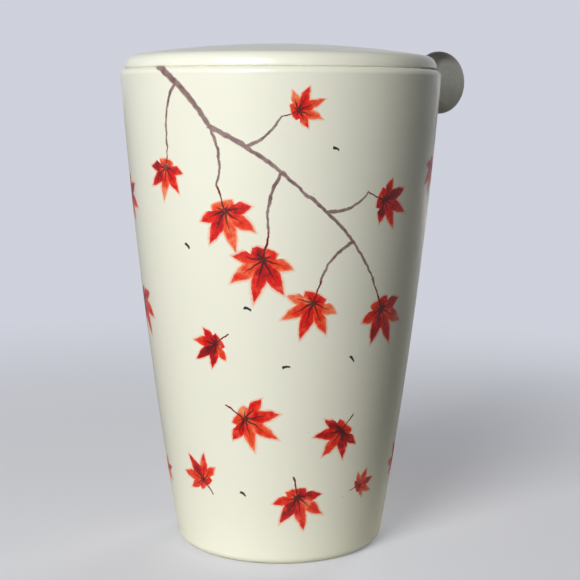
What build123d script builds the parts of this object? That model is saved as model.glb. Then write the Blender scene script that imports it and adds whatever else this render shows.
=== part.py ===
from build123d import *
import os
from math import cos, hypot, radians, sin, sqrt

# Tea mug: a two-walled ceramic cup, a lift-out steeping basket and a lid hinged to the basket's collar.
# Millimetres. The foot stands on Z = 0, the cup's axis is Z, and the hinge is on the +X side.

# Cup
cup_height = 133.0
rim_radius = 44.5
foot_radius = 29.2
side_bow = 1.5  # how far the side stands out from a straight taper at half height
outer_wall = 3.4
air_gap = 1.8
inner_wall = 2.2
outer_floor = 3.6
floor_gap = 1.6
inner_floor = 2.6
foot_recess = 1.8
foot_ring_width = 5.0
foot_round = 2.5
foot_ring_round = 0.8
lip_wall = 2.8
lip_round = 1.5
lip_inner_round = 0.5
lip_depth = 3.4  # from the rim down to the ledge that the basket hangs on
ledge_thickness = 2.6
inside_corner_round = 5.0
joint_gap = 0.15  # glaze joint between the two walls

# Vent plug in the outer floor
vent_radius = 4.0
plug_clearance = 0.1
plug_flange = 2.0
plug_flange_thickness = 1.2
plug_barb = 0.8
plug_barb_height = 1.2

# Steeping basket
seat_ring_thickness = 0.8
seat_ring_inset = 0.7
collar_sheet = 0.8
collar_clearance = 0.4
collar_skirt = 8.0
collar_edge_round = 0.5
basket_sheet = 0.6
basket_floor_clearance = 32.8  # from the cup's inside floor up to the basket's foot
basket_mouth_clearance = 1.0
basket_foot_clearance = 1.4
weld_gap = 0.05
foot_hoop_sheet = 0.6
foot_hoop_height = 4.0
foot_hoop_shelf = 3.5
foot_hoop_round = 0.5
floor_sheet = 0.6
hole_radius = 1.0
hole_columns = 28
hole_row_pitch = 5.6
hole_bottom_margin = 9.0
hole_top_margin = 26.0
floor_hole_radius = 0.65
floor_hole_pitch = 3.0
floor_hole_rings = 7

# Hinge
barrel_radius = 8.2
barrel_drop = 2.8  # from the rim down to the hinge pin
barrel_chamfer = 0.4
pin_radius = 2.5
pin_fit = 0.03  # in the pieces that hold the pin
pin_running_fit = 0.05
arm_width = 6.8
side_play = 0.1
washer_thickness = 0.5
washer_radius = 6.5
bracket_knuckle = 2.4
bracket_sheet = 1.4
bracket_inset = 1.6  # from the collar's mouth to the inner end of the bracket
bracket_corner_round = 1.2
knuckle_clearance = 0.4
notch_clearance = 0.5
cap_radius = 9.25
cap_gap = 1.1  # from the rim to the caps
cap_side = 4.6
cap_dome = 1.2
cap_round = 4.0
cap_back_round = 0.6
cap_socket = 1.6
bracket_rivet_radius = 0.8
bracket_rivet_head = 1.6
bracket_rivet_spread = 3.9
rivet_fit = 0.05

# Lid
lid_setback = 1.4  # from the cup's rim in to the lid's edge
lid_height = 7.0
lid_side = 3.4  # height of the lid's edge before it is rounded
lid_edge_round = 3.2
lid_foot_round = 0.5
lid_seat_clearance = 0.5  # from the gasket to the collar's mouth
gasket_width = 2.2
gasket_body = 1.3
gasket_lip = 0.6
gasket_fit = 0.05
liner_sheet = 0.6
liner_drop = 5.4  # from the lid's seat down to the liner's open edge
liner_bead = 0.8
liner_recess_clearance = 0.2
arm_lift = 0.1  # from the rim to the underside of the arm
arm_sheet = 1.5
arm_channel_clearance = 0.2
arm_reach = 12.0  # how far the arm runs in under the liner
arm_end_round = 2.4
arm_rivet_radius = 1.2
arm_rivet_end_margin = 3.0
arm_rivet_spacing = 5.4
arm_rivet_head = 2.2
arm_rivet_head_height = 0.9
arm_rivet_head_round = 0.6

# Levels and radii that follow from the sizes above
taper = rim_radius - foot_radius
chord = hypot(taper, cup_height)
bow_radius = (chord**2 / 4 + side_bow**2) / (2 * side_bow)
bow_centre_r = (rim_radius + foot_radius) / 2 - (bow_radius - side_bow) * cup_height / chord
bow_centre_z = cup_height / 2 + (bow_radius - side_bow) * taper / chord


def side_radius(z, inset=0.0):
    """Radius of the cup's bowed side at height z, or of a surface parallel to it inside the wall."""
    return bow_centre_r + sqrt((bow_radius - inset) ** 2 - (z - bow_centre_z) ** 2)


def side_points(z_from, z_to, inset=0.0):
    """Three points of the bowed side, for an arc."""
    heights = (z_from, (z_from + z_to) / 2, z_to)
    return [(side_radius(z, inset), z) for z in heights]


def corner(builder, r, z):
    """The profile's corner nearest to a point."""
    return builder.vertices().sort_by_distance((r, z))[0]


cup_wall = outer_wall + air_gap + inner_wall
ledge_z = cup_height - lip_depth
shelf_z = ledge_z - ledge_thickness
lip_bore = side_radius(cup_height, lip_wall)
outer_floor_z = foot_recess + outer_floor
inner_floor_z = outer_floor_z + floor_gap + inner_floor
mouth_radius = side_radius(ledge_z, cup_wall)
foot_ring_inner = foot_radius - foot_round - foot_ring_width

seat_z = ledge_z + seat_ring_thickness
collar_z = seat_z + collar_sheet
collar_radius = lip_bore - collar_clearance
basket_foot_z = inner_floor_z + basket_floor_clearance
basket_top_radius = mouth_radius - basket_mouth_clearance
basket_foot_radius = side_radius(basket_foot_z, cup_wall) - basket_foot_clearance
basket_slope = (basket_top_radius - basket_foot_radius) / (ledge_z - basket_foot_z)


def basket_radius(z, inset=0.0):
    """Outer radius of the basket's tapered wall at height z, less an inset."""
    return basket_foot_radius + basket_slope * (z - basket_foot_z) - inset


skirt_outer_inset = basket_sheet + weld_gap
skirt_inner_inset = skirt_outer_inset + collar_sheet

hinge_x = rim_radius + cap_gap + cap_radius
hinge_z = cup_height - barrel_drop
hinge_axis = Axis((hinge_x, 0, hinge_z), (0, 1, 0))
hinge_plane = Plane(origin=(hinge_x, 0, hinge_z), x_dir=(1, 0, 0), z_dir=(0, 1, 0))
hinge_section = Plane(origin=(hinge_x, 0, hinge_z), x_dir=(0, 1, 0), z_dir=(1, 0, 0))
washer_y = arm_width / 2 + side_play
knuckle_y = washer_y + washer_thickness + side_play
barrel_end_y = knuckle_y + bracket_knuckle
bracket_width = 2 * barrel_end_y
bracket_z = collar_z + bracket_sheet
bracket_inner_x = basket_radius(collar_z, skirt_inner_inset) + bracket_inset
bracket_rivet_x = (bracket_inner_x + lip_bore) / 2

lid_radius = rim_radius - lid_setback
arm_z = cup_height + arm_lift
arm_top_z = arm_z + arm_sheet
liner_top_z = arm_top_z + liner_sheet
liner_edge_z = cup_height - liner_drop
bead_top_z = liner_edge_z + liner_bead
gasket_radius = basket_radius(liner_edge_z, skirt_inner_inset) - lid_seat_clearance
liner_radius = gasket_radius - gasket_width
recess_radius = liner_radius + liner_recess_clearance
arm_end_x = liner_radius - arm_reach
first_rivet_x = arm_end_x + arm_rivet_end_margin
arm_rivet_places = [(first_rivet_x, 0), (first_rivet_x + arm_rivet_spacing, 0)]

# Outer wall of the cup, with the foot ring and the lip
with BuildPart() as cup_outer_wall:
    with BuildSketch(Plane.XZ) as profile:
        with BuildLine():
            Polyline(
                (0, outer_floor_z),
                (0, foot_recess),
                (foot_ring_inner, foot_recess),
                (foot_ring_inner, 0),
                (foot_radius, 0),
            )
            ThreePointArc(*side_points(0, cup_height))
            Polyline(
                (rim_radius, cup_height),
                (lip_bore, cup_height),
                (lip_bore, shelf_z),
                (side_radius(shelf_z, outer_wall), shelf_z),
            )
            ThreePointArc(*side_points(shelf_z, outer_floor_z, outer_wall))
            Line((side_radius(outer_floor_z, outer_wall), outer_floor_z), (0, outer_floor_z))
        make_face()
        fillet(corner(profile, foot_radius, 0), foot_round)
        fillet(corner(profile, foot_ring_inner, 0), foot_ring_round)
        fillet(corner(profile, rim_radius, cup_height), lip_round)
        fillet(corner(profile, lip_bore, cup_height), lip_inner_round)
        fillet(corner(profile, side_radius(outer_floor_z, outer_wall), outer_floor_z), foot_round)
    revolve(axis=Axis.Z)
    with BuildSketch(Plane.XY):
        Circle(vent_radius)
    extrude(amount=outer_floor_z, mode=Mode.SUBTRACT)
    # Notch in the lip that the hinge bracket passes through
    with BuildSketch(Plane.XY.offset(collar_z - notch_clearance)):
        with Locations((hinge_x / 2, 0)):
            Rectangle(hinge_x, bracket_width + 2 * notch_clearance)
    extrude(amount=cup_height - collar_z + 2 * notch_clearance, mode=Mode.SUBTRACT)
cup_outer_wall.part.label = "cup_outer_wall"

# Inner wall of the cup, hung from the outer wall by its ledge
with BuildPart() as cup_inner_wall:
    hang_inset = outer_wall + air_gap
    underside_z = outer_floor_z + floor_gap
    with BuildSketch(Plane.XZ) as profile:
        with BuildLine():
            Polyline(
                (side_radius(underside_z, hang_inset), underside_z),
                (0, underside_z),
                (0, inner_floor_z),
                (side_radius(inner_floor_z, cup_wall), inner_floor_z),
            )
            ThreePointArc(*side_points(inner_floor_z, ledge_z, cup_wall))
            Polyline(
                (mouth_radius, ledge_z),
                (lip_bore - joint_gap, ledge_z),
                (lip_bore - joint_gap, shelf_z),
                (side_radius(shelf_z, hang_inset), shelf_z),
            )
            ThreePointArc(*side_points(shelf_z, underside_z, hang_inset))
        make_face()
        fillet(corner(profile, side_radius(inner_floor_z, cup_wall), inner_floor_z), inside_corner_round)
        fillet(corner(profile, side_radius(underside_z, hang_inset), underside_z), inside_corner_round + inner_wall)
        fillet(corner(profile, mouth_radius, ledge_z), lip_inner_round)
    revolve(axis=Axis.Z)
cup_inner_wall.part.label = "cup_inner_wall"

# Silicone plug that closes the vent of the air gap
with BuildPart() as vent_plug:
    plug_radius = vent_radius - plug_clearance
    with BuildSketch(Plane.XZ):
        with BuildLine():
            Polyline(
                (0, foot_recess - plug_flange_thickness),
                (vent_radius + plug_flange, foot_recess - plug_flange_thickness),
                (vent_radius + plug_flange, foot_recess),
                (plug_radius, foot_recess),
                (plug_radius, outer_floor_z),
                (vent_radius + plug_barb, outer_floor_z),
                (plug_radius - plug_barb, outer_floor_z + plug_barb_height),
                (0, outer_floor_z + plug_barb_height),
                close=True,
            )
        make_face()
    revolve(axis=Axis.Z)
vent_plug.part.label = "vent_plug"

# Silicone ring between the collar and the cup's ledge
with BuildPart() as seat_ring:
    with BuildSketch(Plane.XY.offset(ledge_z)):
        Circle(collar_radius - seat_ring_inset)
        Circle(mouth_radius + seat_ring_inset, mode=Mode.SUBTRACT)
    extrude(amount=seat_ring_thickness)
seat_ring.part.label = "seat_ring"

# Steel collar: a flange on the seat ring and a skirt inside the basket's wall
with BuildPart() as basket_collar:
    skirt_z = seat_z - collar_skirt
    with BuildSketch(Plane.XZ) as profile:
        with BuildLine():
            Polyline(
                (basket_radius(skirt_z, skirt_inner_inset), skirt_z),
                (basket_radius(skirt_z, skirt_outer_inset), skirt_z),
                (basket_radius(seat_z, skirt_outer_inset), seat_z),
                (collar_radius, seat_z),
                (collar_radius, collar_z),
                (basket_radius(collar_z, skirt_inner_inset), collar_z),
                close=True,
            )
        make_face()
        fillet(corner(profile, basket_radius(collar_z, skirt_inner_inset), collar_z), collar_edge_round)
    revolve(axis=Axis.Z)
    with Locations(
        (bracket_rivet_x, bracket_rivet_spread, collar_z),
        (bracket_rivet_x, -bracket_rivet_spread, collar_z),
    ):
        Hole(bracket_rivet_radius + rivet_fit)
basket_collar.part.label = "basket_collar"

# Rolled steel wall of the basket, with its steeping holes
with BuildPart() as basket_wall:
    with BuildSketch(Plane.XZ):
        with BuildLine():
            Polyline(
                (basket_radius(basket_foot_z), basket_foot_z),
                (basket_radius(seat_z), seat_z),
                (basket_radius(seat_z, basket_sheet), seat_z),
                (basket_radius(basket_foot_z, basket_sheet), basket_foot_z),
                close=True,
            )
        make_face()
    revolve(axis=Axis.Z)
    hole_span = seat_z - basket_foot_z - hole_bottom_margin - hole_top_margin
    hole_places = []
    for row in range(int(hole_span / hole_row_pitch) + 1):
        hole_z = basket_foot_z + hole_bottom_margin + row * hole_row_pitch
        for column in range(hole_columns):
            turn = radians((column + row % 2 / 2) * 360 / hole_columns)
            outward = Vector(cos(turn), sin(turn), 0)
            middle = outward * basket_radius(hole_z, basket_sheet / 2)
            hole_places.append(Plane(origin=middle + (0, 0, hole_z), z_dir=outward))
    with Locations(*hole_places):
        Cylinder(hole_radius, 3 * basket_sheet, mode=Mode.SUBTRACT)
basket_wall.part.label = "basket_wall"

# Hoop crimped round the basket's foot, with a shelf under the wall and the floor
with BuildPart() as basket_hoop:
    hoop_z = basket_foot_z - foot_hoop_sheet
    hoop_top_z = basket_foot_z + foot_hoop_height
    hoop_inset = -(weld_gap + foot_hoop_sheet)
    shelf_radius = basket_radius(basket_foot_z, basket_sheet) - foot_hoop_shelf
    with BuildSketch(Plane.XZ) as profile:
        with BuildLine():
            Polyline(
                (shelf_radius, hoop_z),
                (basket_radius(hoop_z, hoop_inset), hoop_z),
                (basket_radius(hoop_top_z, hoop_inset), hoop_top_z),
                (basket_radius(hoop_top_z, -weld_gap), hoop_top_z),
                (basket_radius(basket_foot_z, -weld_gap), basket_foot_z),
                (shelf_radius, basket_foot_z),
                close=True,
            )
        make_face()
        fillet(corner(profile, basket_radius(hoop_z, hoop_inset), hoop_z), foot_hoop_round)
    revolve(axis=Axis.Z)
basket_hoop.part.label = "basket_hoop"

# Perforated steel floor of the basket
with BuildPart() as basket_floor:
    with BuildSketch(Plane.XY.offset(basket_foot_z)):
        Circle(basket_radius(basket_foot_z, basket_sheet + weld_gap))
        Circle(floor_hole_radius, mode=Mode.SUBTRACT)
        for ring in range(1, floor_hole_rings + 1):
            with PolarLocations(ring * floor_hole_pitch, 6 * ring):
                Circle(floor_hole_radius, mode=Mode.SUBTRACT)
    extrude(amount=floor_sheet)
basket_floor.part.label = "basket_floor"

# Hinge bracket: a plate riveted to the collar, with the two outer knuckles of the barrel
with BuildPart() as hinge_bracket:
    for start_y in (knuckle_y, -barrel_end_y):
        with BuildSketch(hinge_plane.offset(start_y)):
            Circle(barrel_radius)
        extrude(amount=bracket_knuckle)
    chamfer(hinge_bracket.edges().filter_by(GeomType.CIRCLE), barrel_chamfer)
    with BuildSketch(Plane.XY.offset(collar_z)) as plate:
        with Locations(((bracket_inner_x + hinge_x) / 2, 0)):
            Rectangle(hinge_x - bracket_inner_x, bracket_width - 2 * barrel_chamfer)
        fillet(plate.vertices().group_by(Axis.X)[0], bracket_corner_round)
    extrude(amount=bracket_sheet)
    with BuildSketch(hinge_plane.offset(-knuckle_y)):
        Circle(barrel_radius + knuckle_clearance)
    extrude(amount=2 * knuckle_y, mode=Mode.SUBTRACT)
    with BuildSketch(hinge_plane.offset(-barrel_end_y)):
        Circle(pin_radius + pin_fit)
    extrude(amount=bracket_width, mode=Mode.SUBTRACT)
    with Locations(
        (bracket_rivet_x, bracket_rivet_spread, bracket_z),
        (bracket_rivet_x, -bracket_rivet_spread, bracket_z),
    ):
        CounterSinkHole(bracket_rivet_radius + rivet_fit, bracket_rivet_head + rivet_fit, counter_sink_angle=90)
hinge_bracket.part.label = "hinge_bracket"

# Two flush rivets from the bracket into the collar
with BuildPart() as bracket_rivets:
    for side in (1, -1):
        rivet_plane = Plane(
            origin=(bracket_rivet_x, side * bracket_rivet_spread, 0), x_dir=(1, 0, 0), z_dir=(0, -1, 0)
        )
        with BuildSketch(rivet_plane):
            with BuildLine():
                Polyline(
                    (0, seat_z),
                    (bracket_rivet_radius, seat_z),
                    (bracket_rivet_radius, bracket_z - (bracket_rivet_head - bracket_rivet_radius)),
                    (bracket_rivet_head, bracket_z),
                    (0, bracket_z),
                    close=True,
                )
            make_face()
        revolve(axis=Axis((bracket_rivet_x, side * bracket_rivet_spread, 0), (0, 0, 1)))
bracket_rivets.part.label = "bracket_rivets"

# Hinge pin, held in the bracket and in the end caps
with BuildPart() as hinge_pin:
    with BuildSketch(hinge_plane.offset(-barrel_end_y - cap_socket)):
        Circle(pin_radius)
    extrude(amount=bracket_width + 2 * cap_socket)
hinge_pin.part.label = "hinge_pin"

# Washers between the lid arm's knuckle and the bracket's
with BuildPart() as hinge_washers:
    for start_y in (washer_y, -washer_y - washer_thickness):
        with BuildSketch(hinge_plane.offset(start_y)):
            Circle(washer_radius)
            Circle(pin_radius + pin_running_fit, mode=Mode.SUBTRACT)
        extrude(amount=washer_thickness)
hinge_washers.part.label = "hinge_washers"

# Domed caps pressed on the pin's ends
with BuildPart() as hinge_caps:
    cap_face_y = barrel_end_y + cap_side
    socket_radius = pin_radius + pin_fit
    dome_radius = (cap_radius**2 + cap_dome**2) / (2 * cap_dome)
    dome_middle = cap_radius / 2
    dome_middle_y = cap_face_y + cap_dome - dome_radius + sqrt(dome_radius**2 - dome_middle**2)
    with BuildSketch(hinge_section) as profile:
        with BuildLine():
            Polyline(
                (cap_face_y + cap_dome, 0),
                (barrel_end_y + cap_socket, 0),
                (barrel_end_y + cap_socket, socket_radius),
                (barrel_end_y, socket_radius),
                (barrel_end_y, cap_radius),
                (cap_face_y, cap_radius),
            )
            ThreePointArc(
                (cap_face_y, cap_radius), (dome_middle_y, dome_middle), (cap_face_y + cap_dome, 0)
            )
        make_face()
        fillet(corner(profile, cap_face_y, cap_radius), cap_round)
        fillet(corner(profile, barrel_end_y, cap_radius), cap_back_round)
    revolve(axis=hinge_axis)
    mirror(about=Plane.XZ)
hinge_caps.part.label = "hinge_caps"

# Ceramic lid: a low crown with a rounded edge, hollowed for the liner
with BuildPart() as lid_cap:
    lid_top_z = cup_height + lid_height
    lid_shoulder_z = cup_height + lid_side
    crown_rise = lid_height - lid_side
    crown_radius = (lid_radius**2 + crown_rise**2) / (2 * crown_rise)
    crown_middle = lid_radius / 2
    crown_middle_z = lid_top_z - crown_radius + sqrt(crown_radius**2 - crown_middle**2)
    with BuildSketch(Plane.XZ) as profile:
        with BuildLine():
            Polyline(
                (0, lid_top_z),
                (0, liner_top_z),
                (recess_radius, liner_top_z),
                (recess_radius, cup_height),
                (lid_radius, cup_height),
                (lid_radius, lid_shoulder_z),
            )
            ThreePointArc((lid_radius, lid_shoulder_z), (crown_middle, crown_middle_z), (0, lid_top_z))
        make_face()
        fillet(corner(profile, lid_radius, lid_shoulder_z), lid_edge_round)
        fillet(corner(profile, lid_radius, cup_height), lid_foot_round)
    revolve(axis=Axis.Z)
    # Channel for the hinge arm
    with BuildSketch(Plane.XY.offset(cup_height)):
        with Locations((hinge_x / 2, 0)):
            Rectangle(hinge_x, arm_width + 2 * arm_channel_clearance)
    extrude(amount=arm_top_z - cup_height, mode=Mode.SUBTRACT)
lid_cap.part.label = "lid_cap"

# Steel liner: an inverted pan bonded into the lid, with a bead that holds the gasket
with BuildPart() as lid_liner:
    with BuildSketch(Plane.XZ):
        with BuildLine():
            Polyline(
                (0, liner_top_z),
                (liner_radius, liner_top_z),
                (liner_radius, bead_top_z),
                (liner_radius + liner_bead, bead_top_z),
                (liner_radius + liner_bead, liner_edge_z),
                (liner_radius - liner_sheet, liner_edge_z),
                (liner_radius - liner_sheet, arm_top_z),
                (0, arm_top_z),
                close=True,
            )
        make_face()
    revolve(axis=Axis.Z)
    with BuildSketch(Plane.XY.offset(cup_height)):
        with Locations(((liner_radius + arm_end_x) / 2 + liner_bead, 0)):
            Rectangle(arm_reach, arm_width + 2 * arm_channel_clearance)
    extrude(amount=arm_top_z - cup_height, mode=Mode.SUBTRACT)
    with Locations(*[(x, y, liner_top_z) for x, y in arm_rivet_places]):
        Hole(arm_rivet_radius + rivet_fit)
lid_liner.part.label = "lid_liner"

# Silicone gasket round the liner, with a lip that wipes the collar's mouth
with BuildPart() as lid_gasket:
    gasket_inner = liner_radius + gasket_fit
    gasket_outer = liner_radius + gasket_body
    lip_middle_z = (bead_top_z + cup_height) / 2
    with BuildSketch(Plane.XZ):
        with BuildLine():
            Polyline(
                (gasket_inner, bead_top_z),
                (gasket_outer, bead_top_z),
                (gasket_radius, lip_middle_z - gasket_lip / 2),
                (gasket_radius, lip_middle_z + gasket_lip / 2),
                (gasket_outer, lip_middle_z + gasket_lip),
                (gasket_outer, cup_height),
                (gasket_inner, cup_height),
                close=True,
            )
        make_face()
    revolve(axis=Axis.Z)
lid_gasket.part.label = "lid_gasket"

# Hinge arm: the middle knuckle of the barrel and a tongue under the liner
with BuildPart() as lid_arm:
    with BuildSketch(hinge_plane.offset(-arm_width / 2)):
        Circle(barrel_radius)
    extrude(amount=arm_width)
    chamfer(lid_arm.edges().filter_by(GeomType.CIRCLE), barrel_chamfer)
    with BuildSketch(Plane.XY.offset(arm_z)) as tongue:
        with Locations(((arm_end_x + hinge_x) / 2, 0)):
            Rectangle(hinge_x - arm_end_x, arm_width - 2 * barrel_chamfer)
        fillet(tongue.vertices().group_by(Axis.X)[0], arm_end_round)
    extrude(amount=arm_sheet)
    with BuildSketch(hinge_plane.offset(-arm_width / 2)):
        Circle(pin_radius + pin_running_fit)
    extrude(amount=arm_width, mode=Mode.SUBTRACT)
    with Locations(*[(x, y, arm_top_z) for x, y in arm_rivet_places]):
        Hole(arm_rivet_radius + rivet_fit, depth=arm_sheet)
lid_arm.part.label = "lid_arm"

# Two rivets that hold the arm to the liner, headed underneath
with BuildPart() as arm_rivets:
    for rivet_x, rivet_y in arm_rivet_places:
        rivet_plane = Plane(origin=(rivet_x, rivet_y, 0), x_dir=(1, 0, 0), z_dir=(0, -1, 0))
        head_z = arm_z - arm_rivet_head_height
        with BuildSketch(rivet_plane) as profile:
            with BuildLine():
                Polyline(
                    (0, head_z),
                    (arm_rivet_head, head_z),
                    (arm_rivet_head, arm_z),
                    (arm_rivet_radius, arm_z),
                    (arm_rivet_radius, liner_top_z),
                    (0, liner_top_z),
                    close=True,
                )
            make_face()
            fillet(corner(profile, arm_rivet_head, head_z), arm_rivet_head_round)
        revolve(axis=Axis((rivet_x, rivet_y, 0), (0, 0, 1)))
arm_rivets.part.label = "arm_rivets"

pieces = [
    cup_outer_wall,
    cup_inner_wall,
    vent_plug,
    seat_ring,
    basket_collar,
    basket_wall,
    basket_hoop,
    basket_floor,
    hinge_bracket,
    bracket_rivets,
    hinge_pin,
    hinge_washers,
    hinge_caps,
    lid_cap,
    lid_liner,
    lid_gasket,
    lid_arm,
    arm_rivets,
]
os.makedirs("parts", exist_ok=True)
for piece in pieces:
    export_step(piece.part, f"parts/{piece.part.label}.step")
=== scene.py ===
from collections import namedtuple
from math import atan2, cos, pi, radians, sin

import bmesh
import bpy
from mathutils import Matrix, Vector


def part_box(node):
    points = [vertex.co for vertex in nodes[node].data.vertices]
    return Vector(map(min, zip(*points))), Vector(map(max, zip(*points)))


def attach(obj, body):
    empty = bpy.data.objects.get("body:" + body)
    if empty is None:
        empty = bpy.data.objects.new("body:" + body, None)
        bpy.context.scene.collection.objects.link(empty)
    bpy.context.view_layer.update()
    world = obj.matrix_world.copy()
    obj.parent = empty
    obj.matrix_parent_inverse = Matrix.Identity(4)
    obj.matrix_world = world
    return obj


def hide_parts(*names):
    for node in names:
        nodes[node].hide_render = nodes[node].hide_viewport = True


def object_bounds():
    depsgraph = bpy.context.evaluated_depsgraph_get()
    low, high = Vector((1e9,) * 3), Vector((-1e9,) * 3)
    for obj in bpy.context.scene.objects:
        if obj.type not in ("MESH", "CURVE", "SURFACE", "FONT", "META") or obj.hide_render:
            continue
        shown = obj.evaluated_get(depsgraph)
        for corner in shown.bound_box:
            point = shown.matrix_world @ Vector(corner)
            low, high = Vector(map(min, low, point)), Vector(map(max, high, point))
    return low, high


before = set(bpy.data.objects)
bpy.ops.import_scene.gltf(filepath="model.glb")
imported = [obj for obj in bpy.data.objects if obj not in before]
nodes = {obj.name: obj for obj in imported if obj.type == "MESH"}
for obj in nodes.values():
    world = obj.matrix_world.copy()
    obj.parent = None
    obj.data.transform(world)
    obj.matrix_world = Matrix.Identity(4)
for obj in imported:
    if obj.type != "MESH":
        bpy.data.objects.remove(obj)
cad_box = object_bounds()
MM = 0.001
NOISE_MIDDLE = 0.5

# Camera. It stands in front of the mug, and the hinge lies behind the rim on its right.
HINGE_TURN = radians(39.5)
CAMERA_ACROSS = 2.8 * MM
CAMERA_BACK = 361.1 * MM
CAMERA_HEIGHT = 123.9 * MM
CAMERA_PITCH = radians(8.31)
CAMERA_ROLL = radians(0.26)
CAMERA_CLIP = 10 * MM
FOCAL_PIXELS = 1279
FRAME_PIXELS = 580
SENSOR_WIDTH = 36.0

# Lamps. Turns go from the camera's side of the mug towards the camera's left.
LAMP_DISTANCE = 0.95
KEY_TURN = radians(29)
KEY_LIFT = radians(25)
KEY_SIZE = 0.5
KEY_POWER = 9.6
BACK_TURN = radians(209)
BACK_LIFT = radians(4)
BACK_SIZE = 0.4
BACK_POWER = 8.0

# Room. It is dimmer overhead where glossy surfaces mirror it.
ROOM_COLOUR = (0.62, 0.64, 0.71, 1)
ROOM_FILL = 0.05
ROOM_OVERHEAD = 0.12
ROOM_OVERHEAD_RISE = (0.15, 0.75)

# Floor. Near the mug it takes the shadow, and further off it fades into the room.
FLOOR_REACH = 6.0
FLOOR_COLOUR = (0.83, 0.83, 0.84, 1)
FLOOR_FADE = (0.07, 0.42)
FLOOR_PALE = 0.30
FLOOR_MIRRORED = 0.35
FLOOR_BOUNCE = (0.22, 0.21, 0.18, 1)
FLOOR_BOUNCE_NEAR = (0.64, 0.63, 0.54, 1)
FLOOR_BOUNCE_FADE = (0.035, 0.11)

# Glaze
IVORY = (0.87, 0.87, 0.755, 1)
IVORY_DEEP = (0.83, 0.825, 0.69, 1)
POOLING_SCALE = 45.0
GLAZE_ROUGHNESS = (0.27, 0.37)
GLAZE_COAT = 0.25
GLAZE_COAT_ROUGHNESS = 0.06
GLAZE_IOR = 1.52
SWELL_SCALE = 70.0
PEEL_SCALE = 620.0
PEEL_SHARE = 0.07
GLAZE_RELIEF = 0.25 * MM
GLAZE_RELIEF_STRENGTH = 0.2
SPECK_BROWN = (0.36, 0.28, 0.18, 1)
SPECK_SCALE = 260.0
SPECK_CHOICE = (0.955, 0.96)
SPECK_EDGE = (0.075, 0.03)
SPECK_STRENGTH = 0.45

# Bare clay of the ring that the mug stands on
BISQUE = (0.62, 0.53, 0.40, 1)
BISQUE_ROUGHNESS = 0.85
BARE_FOOT_Z = 0.45 * MM
BARE_FOOT_FULL_Z = 0.27 * MM

# Print on the cup. The pattern repeats round the cup, and its front faces the camera.
REPEATS = 3
FRONT_TURN = pi / 2 - HINGE_TURN
BRUSH_WANDER = 1.1
BRUSH_WANDER_SCALE = 420.0
WASH_SCALE = 330.0
WASH_CONTRAST = 1.3
LEAF_WASH = [
    (0.0, (0.90, 0.24, 0.10)),
    (0.25, (0.86, 0.060, 0.014)),
    (0.50, (0.74, 0.005, 0.003)),
    (0.75, (0.32, 0.001, 0.003)),
    (1.0, (0.11, 0.001, 0.003)),
]
LEAF_COVER = (0.80, 1.25)
TWIG_WASH = [(0.25, (0.33, 0.19, 0.19)), (0.75, (0.12, 0.06, 0.06))]
TWIG_COVER = (0.78, 1.12)
VEIN_INK = (0.012, 0.002, 0.003, 1)
VEIN_STRENGTH = 0.85
FLECK_INK = (0.012, 0.010, 0.012, 1)
INK_ROUGHNESS = 0.36
INK_ROUGHNESS_SHARE = 0.5
INK_RELIEF = 0.4

# Strokes and leaves of the print, in millimetres round the cup and up from the table
Stroke = namedtuple("Stroke", "start end bend thickness")
Leaf = namedtuple("Leaf", "place turn size tone")
BOUGH = [
    # start across, start height, bend, thickness
    (-37.0, 134.5, 0.07, 2.5),
    (-18.0, 118.0, 0.05, 1.7),
    (7.0, 101.0, 0.06, 1.2),
]
BOUGH_TIP = (26.0, 79.0)
SIDE_TWIGS = [
    # part of the bough, way along it, tip across, tip height, bend, leaf turn, leaf size, leaf tone
    (0, 0.40, -31.5, 113.0, -0.10, 172, 9.0, 0.50),
    (0, 0.90, -16.0, 103.5, 0.12, 196, 11.0, 0.40),
    (1, 0.35, 0.5, 120.5, -0.10, 292, 7.4, 0.36),
    (1, 0.72, -2.5, 92.0, -0.10, 168, 12.0, 0.46),
    (2, 0.22, 24.0, 101.5, -0.12, 248, 9.4, 0.58),
    (2, 0.60, 11.0, 79.5, -0.12, 160, 10.4, 0.34),
    (2, 1.00, 27.0, 77.0, 0.00, 202, 11.2, 0.52),
]
SIDE_TWIG_THICKNESS = 1.2
FALLING_LEAVES = [
    # across, height, turn, size, tone
    (-17.0, 62.0, 128, 8.0, 0.56),
    (-9.0, 42.0, 238, 10.6, 0.38),
    (17.5, 38.0, 140, 9.2, 0.60),
    (-22.0, 23.0, 40, 8.6, 0.44),
    (5.0, 20.0, 190, 10.0, 0.52),
    (24.0, 21.0, 285, 6.0, 0.34),
]
FLECKS = [
    # start across, start height, end across, end height, bend, thickness
    (-9.0, 72.0, -7.2, 71.2, 0.10, 1.1),
    (19.5, 58.5, 20.8, 56.8, 0.10, 0.9),
    (1.0, 56.0, 2.9, 56.4, 0.12, 1.1),
    (-26.0, 88.0, -24.6, 86.8, 0.10, 0.9),
    (13.5, 113.0, 15.2, 112.4, 0.10, 0.9),
    (-10.5, 21.0, -9.0, 20.0, 0.10, 1.0),
]

# Leaf form, in units of its middle lobe. Lobes get shorter from the middle one to the last on each side.
LOBE_SPREAD = radians(42)
LOBE_LAST = 3
LOBE_WIDTH = 0.50
LOBE_SHORTER = 0.03
LOBE_SHORTER_OUTWARDS = 0.061
BLADE_EDGE = (0.0, 0.022)
BLEED_EDGE = (-0.07, 0.01)
BLEED_STRENGTH = 0.42
VEIN_HALF_WIDTH = 0.042
VEIN_TAPER = -0.055
VEIN_EDGE = (0.0, 0.014)
STALK_LENGTH = 0.62
STALK_HALF_WIDTH = 0.030
STALK_END = 0.03

# Paint on a leaf. Each lobe holds its own load, and the paint is thinner at the edge.
LOAD_BY_LOBE = 1.9
LOAD_BY_TONE = 60.0
LOAD_DEPTH = 0.2
THIN_EDGE = (0.09, 0.0)
THIN_EDGE_TONE = -0.26

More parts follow.
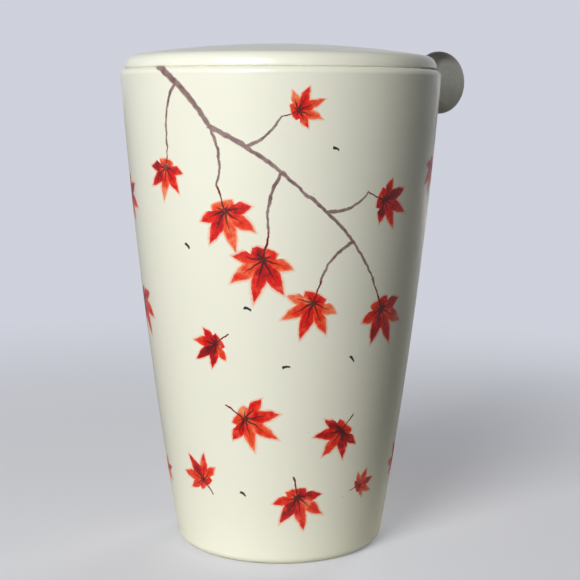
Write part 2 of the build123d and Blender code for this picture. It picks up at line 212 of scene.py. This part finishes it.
# Stroke form: its ends in units of its length, and its widths in units of its thickness.
# A stroke bends as x * (1 - x), which the arch scale brings to 1 halfway along.
ARCH_SCALE = 4.0
STROKE_HALF_WIDTH = 0.5
STROKE_TAPER = -0.15
STROKE_EDGE = 0.22
STROKE_START = (-0.03, -0.01)
STROKE_END = (1.03, 1.01)

# Metals, with a bright tone and a dull one
STEEL_TONES = ((0.66, 0.65, 0.63, 1), (0.50, 0.49, 0.47, 1))
STEEL_ROUGHNESS = (0.20, 0.42)
HINGE_METAL_TONES = ((0.46, 0.445, 0.37, 1), (0.34, 0.33, 0.27, 1))
HINGE_METAL_ROUGHNESS = (0.34, 0.58)
LINE_SCALE = 3200.0
LINE_CHANGE_ROUND_AXIS = 0.0004
LINE_CONTRAST = (0.3, 0.7)
LINE_RELIEF = 0.03 * MM
LINE_RELIEF_STRENGTH = 0.4
HAZE_SCALE = 90.0
HAZE_SHARE = 0.4

# Moulded pieces, with a light tone and a dark one
SILICONE_TONES = ((0.80, 0.79, 0.75, 1), (0.70, 0.69, 0.65, 1))
SILICONE_ROUGHNESS = (0.38, 0.62)
SILICONE_SUBSURFACE = 0.25
NYLON_TONES = ((0.78, 0.77, 0.72, 1), (0.68, 0.67, 0.62, 1))
NYLON_ROUGHNESS = (0.30, 0.54)
NYLON_SUBSURFACE = 0.10
SUBSURFACE_RADIUS = (1.2 * MM, 1.2 * MM, 1.0 * MM)
CLOUDING_SCALE = 160.0
GRAIN_SCALE = 2600.0
GRAIN_RELIEF = 0.04 * MM
GRAIN_RELIEF_STRENGTH = 0.5

# Steeping holes of the finished basket
HOLE_COLUMNS = 96
HOLE_MARGIN_FOOT = 7.5 * MM
HOLE_MARGIN_TOP = 15.5 * MM
HOLE_BORDER = 0.38 * MM
HOLE_ROUND = 0.37 * MM
HOLE_ROUND_SEGMENTS = 2
HOLE_SIDES = 4 * (HOLE_ROUND_SEGMENTS + 1)
BASKET_SHEET = 0.6 * MM
BASKET_WELD_GAP = 0.05 * MM


def new_object(name, data):
    made = bpy.data.objects.new(name, data)
    bpy.context.scene.collection.objects.link(made)
    return made


def to_cad_frame():
    """Turns a place measured along the camera's line of sight into the frame of the CAD pieces."""
    return Matrix.Rotation(-HINGE_TURN, 4, "Z")


def make_camera():
    data = bpy.data.cameras.new("camera")
    data.sensor_width = SENSOR_WIDTH
    data.lens = FOCAL_PIXELS / FRAME_PIXELS * SENSOR_WIDTH
    data.clip_start = CAMERA_CLIP
    camera = new_object("camera", data)
    place = Matrix.Translation((CAMERA_ACROSS, -CAMERA_BACK, CAMERA_HEIGHT))
    tilt = Matrix.Rotation(pi / 2 - CAMERA_PITCH, 4, "X")
    roll = Matrix.Rotation(CAMERA_ROLL, 4, "Z")
    camera.matrix_world = to_cad_frame() @ place @ tilt @ roll
    bpy.context.scene.camera = camera


class Graph:
    """Adds nodes to one shader tree and joins them."""

    def __init__(self, tree):
        self.tree = tree

    def feed(self, socket, value):
        if isinstance(value, bpy.types.NodeSocket):
            self.tree.links.new(value, socket)
        else:
            socket.default_value = value

    def add(self, kind, inputs=None, **settings):
        node = self.tree.nodes.new(kind)
        for name, value in settings.items():
            setattr(node, name, value)
        for name, value in (inputs or {}).items():
            self.feed(node.inputs[name], value)
        return node

    def group(self, tree, inputs):
        return self.add("ShaderNodeGroup", inputs, node_tree=tree).outputs

    def math(self, operation, *values, clamp=False):
        node = self.add("ShaderNodeMath", operation=operation, use_clamp=clamp)
        for socket, value in zip(node.inputs, values):
            self.feed(socket, value)
        return node.outputs[0]

    def vector_math(self, operation, first, second):
        inputs = {0: first, 1: second}
        return self.add("ShaderNodeVectorMath", inputs, operation=operation).outputs["Vector"]

    def length(self, x, y):
        squares = self.math("ADD", self.math("MULTIPLY", x, x), self.math("MULTIPLY", y, y))
        return self.math("SQRT", squares)

    def split(self, vector):
        return self.add("ShaderNodeSeparateXYZ", {"Vector": vector}).outputs

    def join(self, x, y, z):
        return self.add("ShaderNodeCombineXYZ", {"X": x, "Y": y, "Z": z}).outputs["Vector"]

    def mix(self, kind, factor, first, second):
        """Mixes two colours (RGBA) or two values (FLOAT)."""
        node = self.add("ShaderNodeMix", data_type=kind)
        suffix = {"RGBA": "Color", "FLOAT": "Float"}[kind]
        sockets = {socket.identifier: socket for socket in node.inputs}
        self.feed(sockets["Factor_Float"], factor)
        self.feed(sockets["A_" + suffix], first)
        self.feed(sockets["B_" + suffix], second)
        return next(s for s in node.outputs if s.identifier == "Result_" + suffix)

    def step(self, value, low, high):
        """A smooth step from 0 at low to 1 at high."""
        inputs = {"Value": value, "From Min": low, "From Max": high}
        node = self.add("ShaderNodeMapRange", inputs, interpolation_type="SMOOTHSTEP")
        return node.outputs["Result"]

    def span(self, value, to_low, to_high):
        """Spreads a value of 0 to 1 over a range."""
        inputs = {"Value": value, "To Min": to_low, "To Max": to_high}
        return self.add("ShaderNodeMapRange", inputs).outputs["Result"]

    def noise(self, vector, scale, detail=2.0, roughness=0.5):
        inputs = {"Vector": vector, "Scale": scale, "Detail": detail, "Roughness": roughness}
        return self.add("ShaderNodeTexNoise", inputs).outputs

    def turn_about(self, vector, centre, tilt):
        """Moves and tilts coordinates, so that their Z axis is a piece's own axis."""
        inputs = {"Vector": vector, "Location": centre, "Rotation": tilt}
        return self.add("ShaderNodeMapping", inputs, vector_type="TEXTURE").outputs["Vector"]

    def ramp(self, factor, stops):
        node = self.add("ShaderNodeValToRGB", {"Fac": factor})
        elements = node.color_ramp.elements
        while len(elements) < len(stops):
            elements.new(1.0)
        for element, (place, colour) in zip(elements, stops):
            element.position = place
            element.color = (*colour, 1.0)
        return node.outputs["Color"]

    def bump(self, height, distance, strength):
        inputs = {"Height": height, "Distance": distance, "Strength": strength}
        return self.add("ShaderNodeBump", inputs).outputs["Normal"]

    def object_coords(self):
        return self.add("ShaderNodeTexCoord").outputs["Object"]


def new_tree(owner):
    """Empties the shader tree of a material or a world."""
    owner.use_nodes = True
    owner.node_tree.nodes.clear()
    return Graph(owner.node_tree)


def new_material(name):
    material = bpy.data.materials.new(name)
    graph = new_tree(material)
    shader = graph.add("ShaderNodeBsdfPrincipled")
    graph.add("ShaderNodeOutputMaterial", {"Surface": shader.outputs["BSDF"]})
    return material, graph, shader.inputs


def new_group(name, inputs, outputs):
    """A shader node group. Sockets named Vector and Place are vectors, and the others are values."""
    tree = bpy.data.node_groups.new(name, "ShaderNodeTree")
    for side, names in (("INPUT", inputs), ("OUTPUT", outputs)):
        for socket_name in names:
            kind = "NodeSocketVector" if socket_name in ("Vector", "Place") else "NodeSocketFloat"
            tree.interface.new_socket(socket_name, in_out=side, socket_type=kind)
    graph = Graph(tree)
    return tree, graph, graph.add("NodeGroupInput").outputs, graph.add("NodeGroupOutput").inputs


def glaze_skin_group():
    """What every glazed surface has: pooled tone, fine brown specks and a skin that isn't quite even."""
    tree, graph, given, result = new_group("glaze_skin", ["Vector"], ["Pooling", "Specks", "Skin"])
    pooling = graph.noise(given["Vector"], POOLING_SCALE, detail=3.0, roughness=0.55)["Fac"]
    graph.feed(result["Pooling"], pooling)
    inputs = {"Vector": given["Vector"], "Scale": SPECK_SCALE}
    cells = graph.add("ShaderNodeTexVoronoi", inputs).outputs
    chosen = graph.step(graph.split(cells["Color"])["X"], *SPECK_CHOICE)
    dot = graph.step(cells["Distance"], *SPECK_EDGE)
    graph.feed(result["Specks"], graph.math("MULTIPLY", chosen, dot))
    swell = graph.noise(given["Vector"], SWELL_SCALE, detail=1.0)["Fac"]
    peel = graph.noise(given["Vector"], PEEL_SCALE)["Fac"]
    graph.feed(result["Skin"], graph.mix("FLOAT", PEEL_SHARE, swell, peel))
    return tree


def on_motif(graph, given):
    """Where a point of the print lies on a motif that has a place, a turn and a size."""
    inputs = {"Vector": given["Vector"], "Center": given["Place"], "Angle": given["Turn"]}
    turned = graph.add("ShaderNodeVectorRotate", inputs, rotation_type="Z_AXIS", invert=True)
    x, y, _ = graph.split(turned.outputs["Vector"])
    place_x, place_y, _ = graph.split(given["Place"])
    x = graph.math("DIVIDE", graph.math("SUBTRACT", x, place_x), given["Size"])
    y = graph.math("DIVIDE", graph.math("SUBTRACT", y, place_y), given["Size"])
    return x, y


def lay_ink(graph, given, result, ink):
    """Adds ink to what is carried in the third part of the print's coordinates."""
    x, y, under = graph.split(given["Vector"])
    graph.feed(result["Vector"], graph.join(x, y, graph.math("MAXIMUM", under, ink)))


def on_lobe(graph, x, y):
    """Which lobe of a leaf a point is on, from the middle one outwards, and where along and across it."""
    reach = graph.length(x, y)
    turn = graph.math("ARCTAN2", graph.math("ABSOLUTE", x), y)
    nearest = graph.math("ROUND", graph.math("DIVIDE", turn, LOBE_SPREAD))
    lobe = graph.math("MINIMUM", nearest, LOBE_LAST)
    off_lobe = graph.math("SUBTRACT", turn, graph.math("MULTIPLY", lobe, LOBE_SPREAD))
    each_shorter = graph.math("MULTIPLY_ADD", lobe, LOBE_SHORTER_OUTWARDS, LOBE_SHORTER)
    lobe_length = graph.math("SUBTRACT", 1.0, graph.math("MULTIPLY", lobe, each_shorter))
    along = graph.math("MULTIPLY", reach, graph.math("COSINE", off_lobe))
    along = graph.math("DIVIDE", along, lobe_length)
    across = graph.math("ABSOLUTE", graph.math("MULTIPLY", reach, graph.math("SINE", off_lobe)))
    return lobe, along, across


def leaf_stalk(graph, x, y):
    inside = graph.math("SUBTRACT", STALK_HALF_WIDTH, graph.math("ABSOLUTE", x))
    line = graph.step(inside, *VEIN_EDGE)
    start = graph.step(y, 0.0, -STALK_END)
    end = graph.step(graph.math("ADD", y, STALK_LENGTH), 0.0, STALK_END)
    return graph.math("MULTIPLY", line, graph.math("MULTIPLY", start, end))


def lobe_tone(graph, leaf_tone, x, lobe, depth):
    """How dark the paint is on a lobe."""
    which = graph.math("MULTIPLY", lobe, graph.math("SIGN", x))
    brush = graph.math("MULTIPLY", which, LOAD_BY_LOBE)
    load = graph.math("SINE", graph.math("MULTIPLY_ADD", leaf_tone, LOAD_BY_TONE, brush))
    thinner = graph.math("MULTIPLY", graph.step(depth, *THIN_EDGE), THIN_EDGE_TONE)
    return graph.math("ADD", graph.math("MULTIPLY_ADD", load, LOAD_DEPTH, leaf_tone), thinner)


def maple_leaf_group():
    """A leaf of seven lobes painted over what lies under it. Its middle lobe is one size long."""
    inputs = ["Vector", "Place", "Turn", "Size", "Tone", "Under Tone", "Under Vein"]
    tree, graph, given, result = new_group("maple_leaf", inputs, ["Vector", "Tone", "Vein"])
    x, y = on_motif(graph, given)
    lobe, along, across = on_lobe(graph, x, y)
    swell = graph.math("SQRT", graph.math("MAXIMUM", along, 0.0))
    taper = graph.math("MULTIPLY", swell, graph.math("SUBTRACT", 1.0, along))
    depth = graph.math("SUBTRACT", graph.math("MULTIPLY", taper, LOBE_WIDTH), across)
    blade = graph.step(depth, *BLADE_EDGE)
    bleed = graph.math("MULTIPLY", graph.step(depth, *BLEED_EDGE), BLEED_STRENGTH)
    vein_half = graph.math("MULTIPLY_ADD", along, VEIN_TAPER, VEIN_HALF_WIDTH)
    vein = graph.step(graph.math("SUBTRACT", vein_half, across), *VEIN_EDGE)
    stalk = leaf_stalk(graph, x, y)
    ink = graph.math("MAXIMUM", graph.math("MAXIMUM", blade, bleed), stalk)
    vein = graph.math("MAXIMUM", graph.math("MULTIPLY", vein, blade), stalk)
    tone = lobe_tone(graph, given["Tone"], x, lobe, depth)
    lay_ink(graph, given, result, ink)
    graph.feed(result["Tone"], graph.mix("FLOAT", ink, given["Under Tone"], tone))
    graph.feed(result["Vein"], graph.mix("FLOAT", ink, given["Under Vein"], vein))
    return tree


def brush_stroke_group():
    """A bent stroke that gets thinner. Its size is its length, and it starts at its place."""
    inputs = ["Vector", "Place", "Turn", "Size", "Bend", "Thickness"]
    tree, graph, given, result = new_group("brush_stroke", inputs, ["Vector"])
    x, y = on_motif(graph, given)
    rise_and_fall = graph.math("MULTIPLY", x, graph.math("SUBTRACT", 1.0, x))
    arch = graph.math("MULTIPLY", rise_and_fall, ARCH_SCALE)
    off_line = graph.math("SUBTRACT", y, graph.math("MULTIPLY", arch, given["Bend"]))
    narrowing = graph.math("MULTIPLY_ADD", x, STROKE_TAPER, STROKE_HALF_WIDTH)
    half_width = graph.math("MULTIPLY", narrowing, given["Thickness"])
    depth = graph.math("SUBTRACT", half_width, graph.math("ABSOLUTE", off_line))
    ink = graph.step(depth, 0.0, graph.math("MULTIPLY", given["Thickness"], STROKE_EDGE))
    ends = graph.math("MULTIPLY", graph.step(x, *STROKE_START), graph.step(x, *STROKE_END))
    lay_ink(graph, given, result, graph.math("MULTIPLY", ink, ends))
    return tree


def spun_lines_group():
    """Fine lines that a lathe or a brush leaves round the Z axis of the coordinates it is given."""
    tree, graph, given, result = new_group("spun_lines", ["Vector"], ["Lines", "Haze"])
    x, y, z = graph.split(given["Vector"])
    radius = graph.length(x, y)
    turn = graph.math("MULTIPLY", graph.math("ARCTAN2", y, x), LINE_CHANGE_ROUND_AXIS)
    lines = graph.noise(graph.join(radius, turn, z), LINE_SCALE, detail=3.0, roughness=0.7)
    haze = graph.noise(given["Vector"], HAZE_SCALE, detail=3.0, roughness=0.6)
    graph.feed(result["Lines"], lines["Fac"])
    graph.feed(result["Haze"], haze["Fac"])
    return tree


def moulded_skin_group():
    """The faint clouding and fine grain of a moulded part."""
    tree, graph, given, result = new_group("moulded_skin", ["Vector"], ["Clouding", "Grain"])
    clouding = graph.noise(given["Vector"], CLOUDING_SCALE, detail=3.0, roughness=0.6)
    grain = graph.noise(given["Vector"], GRAIN_SCALE, detail=2.0, roughness=0.6)
    graph.feed(result["Clouding"], clouding["Fac"])
    graph.feed(result["Grain"], grain["Fac"])
    return tree


glaze_skin = glaze_skin_group()
maple_leaf = maple_leaf_group()
brush_stroke = brush_stroke_group()
spun_lines = spun_lines_group()
moulded_skin = moulded_skin_group()


def glaze_base(graph, coords):
    """Colour and skin of the ivory glaze."""
    skin = graph.group(glaze_skin, {"Vector": coords})
    colour = graph.mix("RGBA", skin["Pooling"], IVORY, IVORY_DEEP)
    specks = graph.math("MULTIPLY", skin["Specks"], SPECK_STRENGTH)
    return graph.mix("RGBA", specks, colour, SPECK_BROWN), skin


def finish_glaze(graph, inputs, relief):
    graph.feed(inputs["Normal"], graph.bump(relief, GLAZE_RELIEF, GLAZE_RELIEF_STRENGTH))
    inputs["Coat Weight"].default_value = GLAZE_COAT
    inputs["Coat Roughness"].default_value = GLAZE_COAT_ROUGHNESS
    inputs["IOR"].default_value = GLAZE_IOR


def plain_glaze():
    material, graph, inputs = new_material("ivory_glaze")
    colour, skin = glaze_base(graph, graph.object_coords())
    graph.feed(inputs["Base Color"], colour)
    graph.feed(inputs["Roughness"], graph.span(skin["Pooling"], *GLAZE_ROUGHNESS))
    finish_glaze(graph, inputs, skin["Skin"])
    return material


def cup_surface(graph, coords):
    """Millimetres round the cup and up from the table, on one repeat of the print."""
    x, y, z = graph.split(coords)
    back_x = graph.math("MULTIPLY", x, -1.0)
    back_y = graph.math("MULTIPLY", y, -1.0)
    turn = graph.math("SUBTRACT", graph.math("ARCTAN2", back_y, back_x), FRONT_TURN)
    turn = graph.math("WRAP", turn, pi / REPEATS, -pi / REPEATS)
    across = graph.math("MULTIPLY", turn, graph.length(x, y))
    across = graph.math("MULTIPLY", across, 1 / MM)
    height = graph.math("MULTIPLY", z, 1 / MM)
    return graph.join(across, height, 0.0)


def ragged_surface(graph, coords):
    """The cup's surface, shifted a little here and there, so that painted edges are uneven."""
    wander = graph.noise(coords, BRUSH_WANDER_SCALE)["Color"]
    wander = graph.vector_math("SUBTRACT", wander, (NOISE_MIDDLE,) * 3)
    shift = graph.vector_math("MULTIPLY", wander, (BRUSH_WANDER, BRUSH_WANDER, 0.0))
    return graph.vector_math("ADD", cup_surface(graph, coords), shift)


def point_along(stroke, share):
    """A point on a bent stroke, a share of the way along it."""
    run = stroke.end - stroke.start
    square = Vector((-run.y, run.x))
    arch = ARCH_SCALE * share * (1 - share)
    return stroke.start + run * share + square * stroke.bend * arch


def lay_out_spray():
    """The bough, the twigs that grow from it, and the leaves that hang from them or fall."""
    joints = [Vector(row[:2]) for row in BOUGH] + [Vector(BOUGH_TIP)]
    bough = [Stroke(joints[i], joints[i + 1], *row[2:]) for i, row in enumerate(BOUGH)]
    twigs = list(bough)
    hung = [Leaf(Vector(row[:2]), *row[2:]) for row in FALLING_LEAVES]
    for part, share, tip_x, tip_y, bend, turn, size, tone in SIDE_TWIGS:
        tip = Vector((tip_x, tip_y))
        twigs.append(Stroke(point_along(bough[part], share), tip, bend, SIDE_TWIG_THICKNESS))
        heading = Vector((-sin(radians(turn)), cos(radians(turn))))
        hung.append(Leaf(tip + heading * STALK_LENGTH * size, turn, size, tone))
    flecks = [Stroke(Vector(row[:2]), Vector(row[2:4]), *row[4:]) for row in FLECKS]
    return twigs, hung, flecks


def paint_strokes(graph, surface, lines):
    """Brush strokes one after another. Gives the ink that they lay down."""
    for line in lines:
        run = line.end - line.start
        inputs = {
            "Vector": surface,
            "Place": (*line.start, 0),
            "Turn": atan2(run.y, run.x),
            "Size": run.length,
            "Bend": line.bend,
            "Thickness": line.thickness / run.length,
        }
        surface = graph.group(brush_stroke, inputs)["Vector"]
    return graph.split(surface)["Z"]


def paint_leaves(graph, surface, leaves):
    """Leaves one over another. Gives their ink, tone and veins."""
    tone = 0.0
    vein = 0.0
    for leaf in leaves:
        inputs = {
            "Vector": surface,
            "Place": (*leaf.place, 0),
            "Turn": radians(leaf.turn),
            "Size": leaf.size,
            "Tone": leaf.tone,
            "Under Tone": tone,
            "Under Vein": vein,
        }
        laid = graph.group(maple_leaf, inputs)
        surface, tone, vein = laid["Vector"], laid["Tone"], laid["Vein"]
    return graph.split(surface)["Z"], tone, vein


def painted_sprays(graph, coords, ground):
    """Paints twigs, maple leaves and flecks on the glaze. Gives the colour and how much ink lies there."""
    surface = ragged_surface(graph, coords)
    wash = graph.noise(coords, WASH_SCALE, detail=4.0, roughness=0.62)["Fac"]
    twigs, hung, flecks = lay_out_spray()
    twig_ink = paint_strokes(graph, surface, twigs)
    fleck_ink = paint_strokes(graph, surface, flecks)
    leaf_ink, leaf_tone, leaf_vein = paint_leaves(graph, surface, hung)

    twig_cover = graph.math("MULTIPLY", twig_ink, graph.span(wash, *TWIG_COVER), clamp=True)
    colour = graph.mix("RGBA", twig_cover, ground, graph.ramp(wash, TWIG_WASH))

    off_middle = graph.math("SUBTRACT", wash, NOISE_MIDDLE)
    uneven = graph.math("MULTIPLY_ADD", off_middle, WASH_CONTRAST, leaf_tone)
    veined = graph.math("MULTIPLY", leaf_vein, VEIN_STRENGTH)
    leaf_colour = graph.mix("RGBA", veined, graph.ramp(uneven, LEAF_WASH), VEIN_INK)
    leaf_cover = graph.math("MULTIPLY", leaf_ink, graph.span(wash, *LEAF_COVER), clamp=True)
    colour = graph.mix("RGBA", leaf_cover, colour, leaf_colour)

    colour = graph.mix("RGBA", fleck_ink, colour, FLECK_INK)
    ink = graph.math("MAXIMUM", graph.math("MAXIMUM", twig_cover, leaf_cover), fleck_ink)
    return colour, ink


def printed_glaze():
    material, graph, inputs = new_material("printed_ivory_glaze")
    coords = graph.object_coords()
    ground, skin = glaze_base(graph, coords)
    colour, ink = painted_sprays(graph, coords, ground)
    bare = graph.step(graph.split(coords)["Z"], BARE_FOOT_Z, BARE_FOOT_FULL_Z)
    graph.feed(inputs["Base Color"], graph.mix("RGBA", bare, colour, BISQUE))
    glossy = graph.span(skin["Pooling"], *GLAZE_ROUGHNESS)
    duller = graph.math("MULTIPLY", ink, INK_ROUGHNESS_SHARE)
    glossy = graph.mix("FLOAT", duller, glossy, INK_ROUGHNESS)
    graph.feed(inputs["Roughness"], graph.mix("FLOAT", bare, glossy, BISQUE_ROUGHNESS))
    finish_glaze(graph, inputs, graph.math("MULTIPLY_ADD", ink, INK_RELIEF, skin["Skin"]))
    return material


def spun_metal(name, tones, roughness, centre=(0, 0, 0), tilt=(0, 0, 0)):
    """Metal with fine lines round an axis, which is Z unless it is moved and tilted."""
    material, graph, inputs = new_material(name)
    bright, dull = tones
    coords = graph.turn_about(graph.object_coords(), centre, tilt)
    marks = graph.group(spun_lines, {"Vector": coords})
    streak = graph.mix("FLOAT", HAZE_SHARE, marks["Lines"], marks["Haze"])
    shine = graph.step(streak, *LINE_CONTRAST)
    graph.feed(inputs["Base Color"], graph.mix("RGBA", shine, dull, bright))
    graph.feed(inputs["Roughness"], graph.span(streak, *roughness))
    graph.feed(inputs["Normal"], graph.bump(marks["Lines"], LINE_RELIEF, LINE_RELIEF_STRENGTH))
    inputs["Metallic"].default_value = 1.0
    return material


def moulded(name, tones, roughness, subsurface):
    material, graph, inputs = new_material(name)
    skin = graph.group(moulded_skin, {"Vector": graph.object_coords()})
    graph.feed(inputs["Base Color"], graph.mix("RGBA", skin["Clouding"], *tones))
    graph.feed(inputs["Roughness"], graph.span(skin["Grain"], *roughness))
    graph.feed(inputs["Normal"], graph.bump(skin["Grain"], GRAIN_RELIEF, GRAIN_RELIEF_STRENGTH))
    inputs["Subsurface Weight"].default_value = subsurface
    inputs["Subsurface Radius"].default_value = SUBSURFACE_RADIUS
    return material


def face_turn(face):
    middle = face.calc_center_median()
    return atan2(middle.y, middle.x)


def cell_levels(low_z, high_z, middle_radius):
    """Tops of the basket's rows: a plain margin, rows of about square cells, and a plain margin."""
    first = low_z + HOLE_MARGIN_FOOT
    last = high_z - HOLE_MARGIN_TOP
    rows = round((last - first) / (2 * pi * middle_radius / HOLE_COLUMNS))
    return [first + (last - first) * row / rows for row in range(rows + 1)] + [high_z]


def raise_sleeve(shape, foot_radius, top_radius, low_z, high_z):
    """Draws a tapered sleeve up from a ring. Gives every second cell of its rows, which become holes."""
    ring = bmesh.ops.create_circle(shape, segments=HOLE_COLUMNS, radius=foot_radius)["verts"]
    bmesh.ops.translate(shape, verts=ring, vec=(0, 0, low_z))
    edges = list(shape.edges)
    slope = (top_radius - foot_radius) / (high_z - low_z)
    levels = cell_levels(low_z, high_z, (foot_radius + top_radius) / 2)
    holed = []
    z = low_z
    radius = foot_radius
    for row, level in enumerate(levels):
        made = bmesh.ops.extrude_edge_only(shape, edges=edges)["geom"]
        verts = [item for item in made if isinstance(item, bmesh.types.BMVert)]
        faces = [item for item in made if isinstance(item, bmesh.types.BMFace)]
        next_radius = foot_radius + slope * (level - low_z)
        wider = next_radius / radius
        bmesh.ops.scale(shape, verts=verts, vec=(wider, wider, 1))
        bmesh.ops.translate(shape, verts=verts, vec=(0, 0, level - z))
        if 0 < row < len(levels) - 1:
            faces.sort(key=face_turn)
            holed += [face for column, face in enumerate(faces) if (column + row) % 2]
        z = level
        radius = next_radius
        rim = set(verts)
        made_edges = [item for item in made if isinstance(item, bmesh.types.BMEdge)]
        edges = [edge for edge in made_edges if rim.issuperset(edge.verts)]
    return holed


def perforated_wall():
    """The basket's wall with its fine holes, in place of the coarser one."""
    low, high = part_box("basket_wall")
    foot_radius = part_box("basket_floor")[1].x + BASKET_SHEET + BASKET_WELD_GAP
    shape = bmesh.new()
    holed = raise_sleeve(shape, foot_radius, high.x, low.z, high.z)
    bmesh.ops.recalc_face_normals(shape, faces=shape.faces)
    bmesh.ops.inset_individual(shape, faces=holed, thickness=HOLE_BORDER, use_even_offset=True)
    corners = [vert for face in holed for vert in face.verts]
    bmesh.ops.bevel(
        shape, geom=corners, offset=HOLE_ROUND, segments=HOLE_ROUND_SEGMENTS,
        profile=0.5, affect="VERTICES", material=-1,
    )
    open_faces = [face for face in shape.faces if len(face.verts) == HOLE_SIDES]
    bmesh.ops.delete(shape, geom=open_faces, context="FACES")
    mesh = bpy.data.meshes.new("basket_wall_fine")
    shape.to_mesh(mesh)
    shape.free()
    mesh.polygons.foreach_set("use_smooth", [True] * len(mesh.polygons))
    piece = new_object("basket_wall_fine", mesh)
    wall = piece.modifiers.new("sheet", "SOLIDIFY")
    wall.thickness = BASKET_SHEET
    wall.offset = -1.0
    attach(piece, "basket")
    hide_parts("basket_wall")
    return piece


def dress(piece, material):
    piece.data.materials.clear()
    piece.data.materials.append(material)


def dress_pieces():
    hinge_low, hinge_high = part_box("hinge_pin")
    hinge_middle = (Vector(hinge_low) + Vector(hinge_high)) / 2
    steel = spun_metal("brushed_steel", STEEL_TONES, STEEL_ROUGHNESS)
    along_y = (pi / 2, 0, 0)
    hinge_metal = spun_metal(
        "dark_hinge_metal", HINGE_METAL_TONES, HINGE_METAL_ROUGHNESS, hinge_middle, along_y
    )
    silicone = moulded("milky_silicone", SILICONE_TONES, SILICONE_ROUGHNESS, SILICONE_SUBSURFACE)
    nylon = moulded("white_nylon", NYLON_TONES, NYLON_ROUGHNESS, NYLON_SUBSURFACE)
    ivory = plain_glaze()
    finishes = {
        "cup_outer_wall": printed_glaze(),
        "cup_inner_wall": ivory,
        "vent_plug": silicone,
        "seat_ring": silicone,
        "basket_collar": steel,
        "basket_hoop": steel,
        "basket_floor": steel,
        "hinge_bracket": hinge_metal,
        "bracket_rivets": steel,
        "hinge_pin": steel,
        "hinge_washers": nylon,
        "hinge_caps": hinge_metal,
        "lid_cap": ivory,
        "lid_liner": steel,
        "lid_gasket": silicone,
        "lid_arm": hinge_metal,
        "arm_rivets": steel,
    }
    for name, material in finishes.items():
        dress(nodes[name], material)
    dress(perforated_wall(), steel)


def floor_finish():
    """A pale floor that fades into the room, and lights the mug from below with its own colour."""
    material = bpy.data.materials.new("pale_floor")
    graph = new_tree(material)
    path = graph.add("ShaderNodeLightPath").outputs
    seen = graph.math("MULTIPLY_ADD", path["Is Glossy Ray"], FLOOR_MIRRORED, path["Is Camera Ray"])
    from_mug = graph.add("ShaderNodeVectorMath", {0: graph.object_coords()}, operation="LENGTH")
    away = from_mug.outputs["Value"]
    bounce = graph.mix("RGBA", graph.step(away, *FLOOR_BOUNCE_FADE), FLOOR_BOUNCE_NEAR, FLOOR_BOUNCE)
    colour = graph.mix("RGBA", path["Is Camera Ray"], bounce, FLOOR_COLOUR)
    near = graph.add("ShaderNodeBsdfDiffuse", {"Color": colour}).outputs["BSDF"]
    far = graph.add("ShaderNodeEmission", {"Color": ROOM_COLOUR}).outputs["Emission"]
    paler = graph.span(graph.step(away, *FLOOR_FADE), FLOOR_PALE, 1.0)
    faded = graph.math("MULTIPLY", paler, seen)
    surface = graph.add("ShaderNodeMixShader", {"Fac": faded, 1: near, 2: far}).outputs["Shader"]
    graph.add("ShaderNodeOutputMaterial", {"Surface": surface})
    return material


def make_floor():
    mesh = bpy.data.meshes.new("floor")
    shape = bmesh.new()
    bmesh.ops.create_grid(shape, x_segments=1, y_segments=1, size=FLOOR_REACH)
    shape.to_mesh(mesh)
    shape.free()
    mesh.materials.append(floor_finish())
    floor = new_object("floor", mesh)


def soft_lamp(name, turn, lift, size, power):
    """A round lamp that faces the middle of the mug."""
    data = bpy.data.lights.new(name, "AREA")
    data.shape = "DISK"
    data.size = size
    data.energy = power
    lamp = new_object(name, data)
    aim = Vector((0, 0, (cad_box[0][2] + cad_box[1][2]) / 2))
    away = Vector((-sin(turn) * cos(lift), -cos(turn) * cos(lift), sin(lift)))
    away = to_cad_frame() @ away
    facing = (-away).to_track_quat("-Z", "Y").to_matrix().to_4x4()
    lamp.matrix_world = Matrix.Translation(aim + away * LAMP_DISTANCE) @ facing
    return lamp


def make_lamps():
    soft_lamp("key", KEY_TURN, KEY_LIFT, KEY_SIZE, KEY_POWER)
    back = soft_lamp("back", BACK_TURN, BACK_LIFT, BACK_SIZE, BACK_POWER)
    back.visible_camera = False
    back.visible_glossy = False


def make_room():
    world = bpy.data.worlds.new("room")
    bpy.context.scene.world = world
    graph = new_tree(world)
    path = graph.add("ShaderNodeLightPath").outputs
    rise = graph.split(graph.add("ShaderNodeTexCoord").outputs["Generated"])["Z"]
    mirrored = graph.span(graph.step(rise, *ROOM_OVERHEAD_RISE), 1.0, ROOM_OVERHEAD)
    strength = graph.mix("FLOAT", path["Is Glossy Ray"], ROOM_FILL, mirrored)
    strength = graph.mix("FLOAT", path["Is Camera Ray"], strength, 1.0)
    light = graph.add("ShaderNodeBackground", {"Color": ROOM_COLOUR, "Strength": strength})
    graph.add("ShaderNodeOutputWorld", {"Surface": light.outputs["Background"]})


make_camera()
dress_pieces()
make_floor()
make_lamps()
make_room()
bpy.context.scene.view_settings.view_transform = "Standard"
